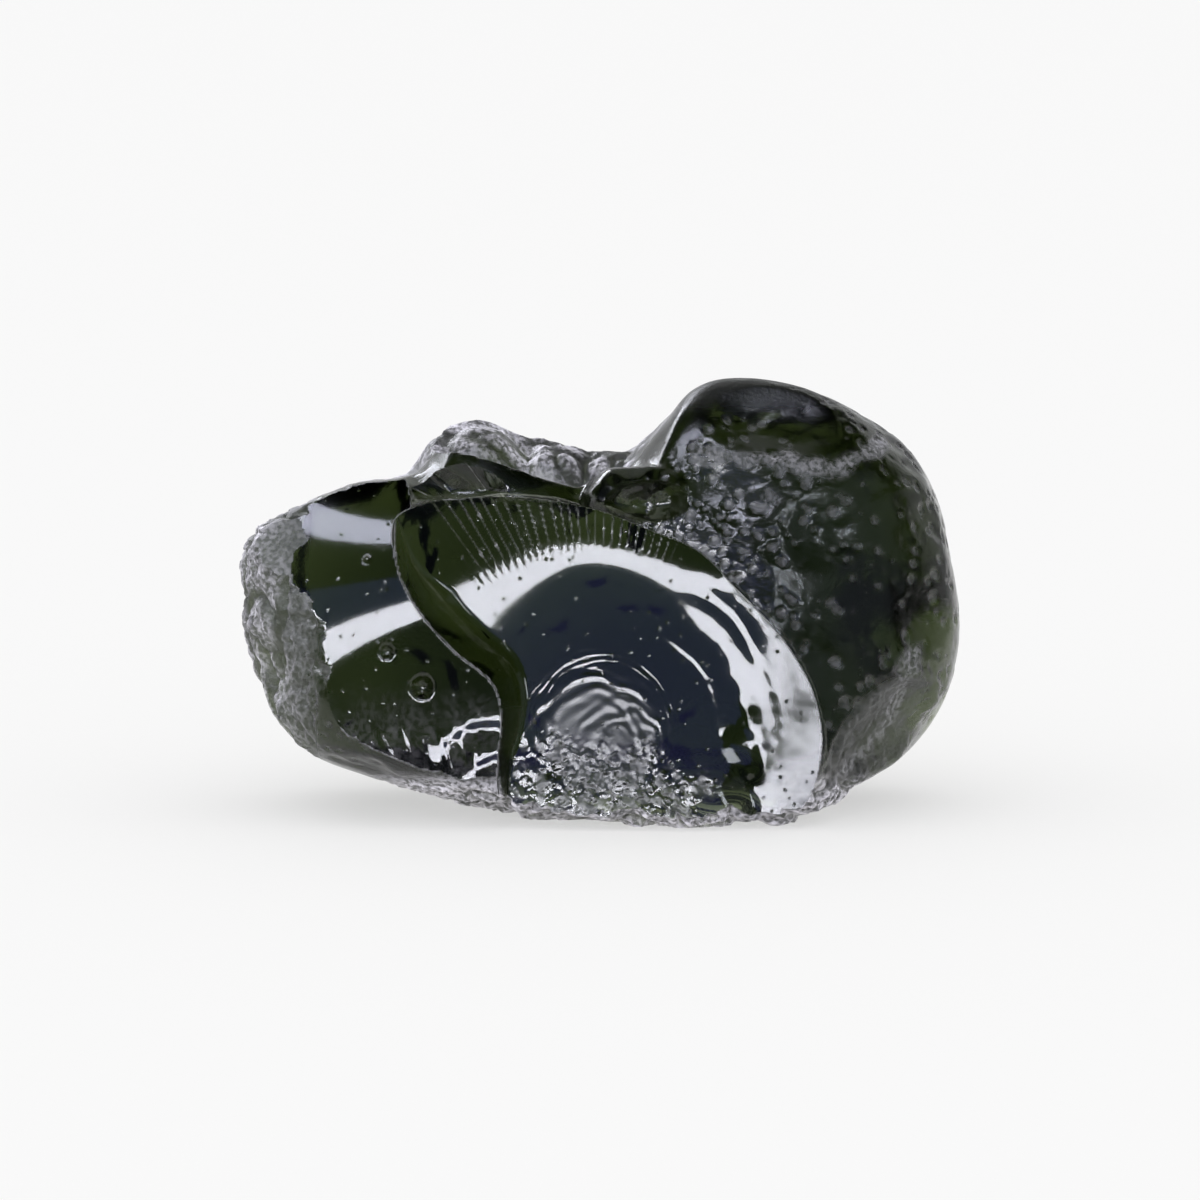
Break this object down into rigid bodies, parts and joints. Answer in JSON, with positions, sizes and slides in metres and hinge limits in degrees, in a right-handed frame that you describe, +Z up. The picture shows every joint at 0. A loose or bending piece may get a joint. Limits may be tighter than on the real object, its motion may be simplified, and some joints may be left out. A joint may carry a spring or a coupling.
{
  "type": "moldavite",
  "caption": "Raw moldavite: a lumpy, pitted pebble of dark green natural glass, broken open at the front in smooth shell-shaped fractures, resting on a small flat.",
  "frame": {"origin": "on the resting flat, under the middle of the stone's width", "axes": "+Z up from the flat, +X to the right along the stone's length, -Y out of the broken face"},
  "size_m": [0.03, 0.0162, 0.0177],
  "materials": {
    "glass": "dark olive-green natural glass, etched and satin on the skin, mirror-smooth on the fractures"
  },
  "bodies": {
    "root": {"moldavite": "glass"}
  },
  "joints": []
}
